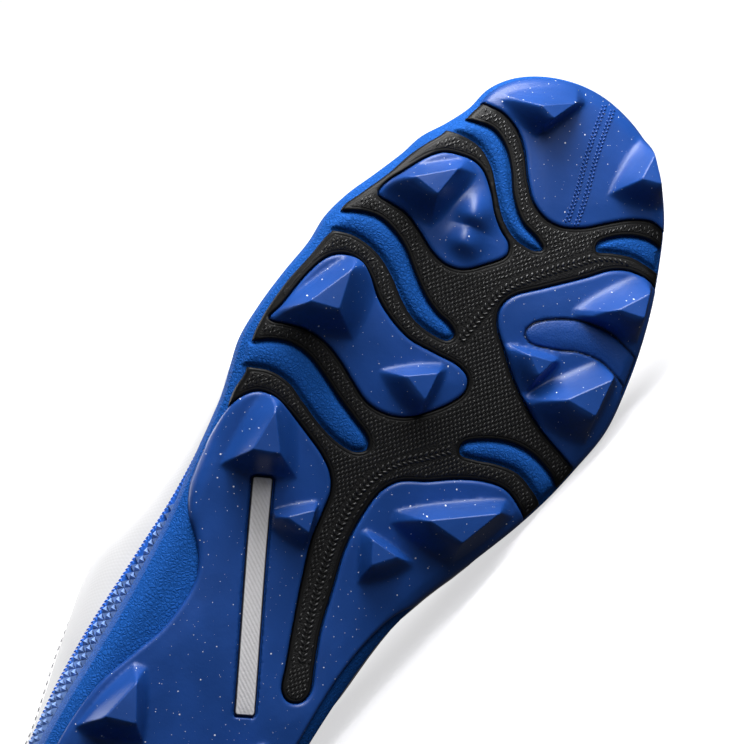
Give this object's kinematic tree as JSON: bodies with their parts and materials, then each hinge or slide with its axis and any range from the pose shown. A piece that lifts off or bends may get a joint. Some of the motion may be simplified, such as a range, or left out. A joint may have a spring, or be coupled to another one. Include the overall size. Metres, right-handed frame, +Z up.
{
  "type": "football cleat",
  "caption": "Low-cut football cleat for a right foot, lying on its side: hollow upper, foam midsole, flexible web and hard plates with triangular studs.",
  "frame": {"origin": "centre of the bounding box's base, on the floor the shoe lies on", "axes": "+X from heel to toe, +Z up away from the floor, the sole faces -Y and the collar +Y"},
  "size_m": [0.2968, 0.119, 0.1071],
  "materials": {
    "foam": "matte",
    "web": "matte",
    "plate": "satin",
    "inlay": "matte",
    "band": "satin",
    "textile": "matte",
    "lining": "matte",
    "cord": "matte"
  },
  "bodies": {
    "root": {"midsole": "foam", "flex_web": "web", "toe_plate": "plate", "outer_front_pod": "plate", "outer_mid_pod": "plate", "inner_front_pod": "plate", "rear_plate": "plate", "arch_inlay": "inlay", "edge_band": "band", "upper": "textile", "tongue": "textile", "insole": "lining", "lace": "cord"}
  },
  "joints": []
}
